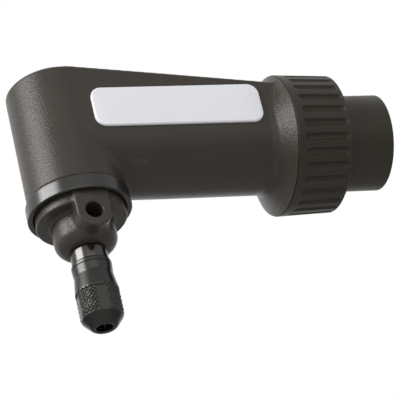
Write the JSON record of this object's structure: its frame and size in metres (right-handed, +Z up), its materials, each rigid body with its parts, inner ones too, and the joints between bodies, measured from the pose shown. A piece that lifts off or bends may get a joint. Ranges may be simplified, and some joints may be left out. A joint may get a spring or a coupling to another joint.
{
  "type": "angle head",
  "caption": "Right-angle attachment for a rotary tool: ribbed coupling nut, tapered arm, and a head whose bevel pair drives a collet spindle with a knurled nut.",
  "frame": {"origin": "centre of the adapter's mouth, where its thread meets the tool's nose", "axes": "+X out of the mouth towards the tool, along the drive axis; +Z up, away from the collet; -Y is the side with the badge"},
  "size_m": [0.0937, 0.0352, 0.0666],
  "materials": {
    "body_plastic": "spark-eroded dark grey moulding",
    "nut_plastic": "fine matt near-black moulding",
    "badge_face": "glossy domed face, bare",
    "dark_metal": "smooth satin black",
    "bright_steel": "ground",
    "black_steel": "black oxide",
    "brass": "turned",
    "felt": "pressed felt"
  },
  "bodies": {
    "adapter": {"adapter_sleeve": "nut_plastic"},
    "washer": {"thrust_washer": "bright_steel"},
    "coupling": {"coupling_nut": "nut_plastic"},
    "arm": {"housing": "body_plastic", "badge": "badge_face", "clamp_ring": "dark_metal", "nose_cap": "body_plastic", "dust_seal": "felt", "bearing_spacer": "brass", "housing_circlip": "black_steel", "preload_washer": "bright_steel", "front_bearing_outer_ring": "bright_steel", "rear_bearing_outer_ring": "bright_steel", "upper_bearing_outer_ring": "bright_steel", "lower_bearing_outer_ring": "bright_steel"},
    "input": {"drive_shaft": "bright_steel", "pinion": "black_steel", "pinion_pin": "bright_steel", "shaft_clip": "black_steel", "front_bearing_inner_ring": "bright_steel", "rear_bearing_inner_ring": "bright_steel"},
    "output": {"spindle": "bright_steel", "bevel_gear": "black_steel", "gear_pin": "bright_steel", "upper_bearing_inner_ring": "bright_steel", "lower_bearing_inner_ring": "bright_steel"},
    "collet": {"collet": "bright_steel"},
    "collet_nut": {"collet_nut": "black_steel"},
    "front_cage": {"front_bearing_balls": "bright_steel", "front_bearing_cage": "brass"},
    "rear_cage": {"rear_bearing_balls": "bright_steel", "rear_bearing_cage": "brass"},
    "upper_cage": {"upper_bearing_balls": "bright_steel", "upper_bearing_cage": "brass"},
    "lower_cage": {"lower_bearing_balls": "bright_steel", "lower_bearing_cage": "brass"}
  },
  "joints": [
    {"name": "coupling_slide", "type": "slide", "parent": "adapter", "child": "washer", "axis": [1, 0, 0], "range_m": [0, 0.0045]},
    {"name": "coupling_turn", "type": "hinge", "parent": "washer", "child": "coupling", "pos_m": [0, 0, 0], "axis": [1, 0, 0], "range_deg": [0, 1080]},
    {"name": "head_index", "type": "hinge", "parent": "adapter", "child": "arm", "pos_m": [0, 0, 0], "axis": [1, 0, 0], "continuous": true},
    {"name": "input_spin", "type": "hinge", "parent": "arm", "child": "input", "pos_m": [0, 0, 0], "axis": [1, 0, 0], "continuous": true},
    {"name": "spindle_spin", "type": "hinge", "parent": "arm", "child": "output", "pos_m": [-0.081, 0, 0], "axis": [0, 0, 1], "continuous": true},
    {"name": "front_cage_spin", "type": "hinge", "parent": "arm", "child": "front_cage", "pos_m": [0, 0, 0], "axis": [1, 0, 0], "continuous": true},
    {"name": "rear_cage_spin", "type": "hinge", "parent": "arm", "child": "rear_cage", "pos_m": [0, 0, 0], "axis": [1, 0, 0], "continuous": true},
    {"name": "upper_cage_spin", "type": "hinge", "parent": "arm", "child": "upper_cage", "pos_m": [-0.081, 0, 0], "axis": [0, 0, 1], "continuous": true},
    {"name": "lower_cage_spin", "type": "hinge", "parent": "arm", "child": "lower_cage", "pos_m": [-0.081, 0, 0], "axis": [0, 0, 1], "continuous": true},
    {"name": "collet_slide", "type": "slide", "parent": "output", "child": "collet", "axis": [0, 0, -1], "range_m": [0, 0.0015]},
    {"name": "collet_nut_turn", "type": "hinge", "parent": "collet", "child": "collet_nut", "pos_m": [-0.081, 0, 0], "axis": [0, 0, -1], "range_deg": [0, 720]}
  ],
  "couplings": [
    {"joint": "coupling_turn", "follows": "coupling_slide", "rad_per_m": 4188.8},
    {"joint": "spindle_spin", "follows": "input_spin", "ratio": 1},
    {"joint": "front_cage_spin", "follows": "input_spin", "ratio": 0.3596},
    {"joint": "rear_cage_spin", "follows": "input_spin", "ratio": 0.3596},
    {"joint": "upper_cage_spin", "follows": "input_spin", "ratio": 0.365},
    {"joint": "lower_cage_spin", "follows": "input_spin", "ratio": 0.37087},
    {"joint": "collet_nut_turn", "follows": "collet_slide", "rad_per_m": 8377.6}
  ]
}
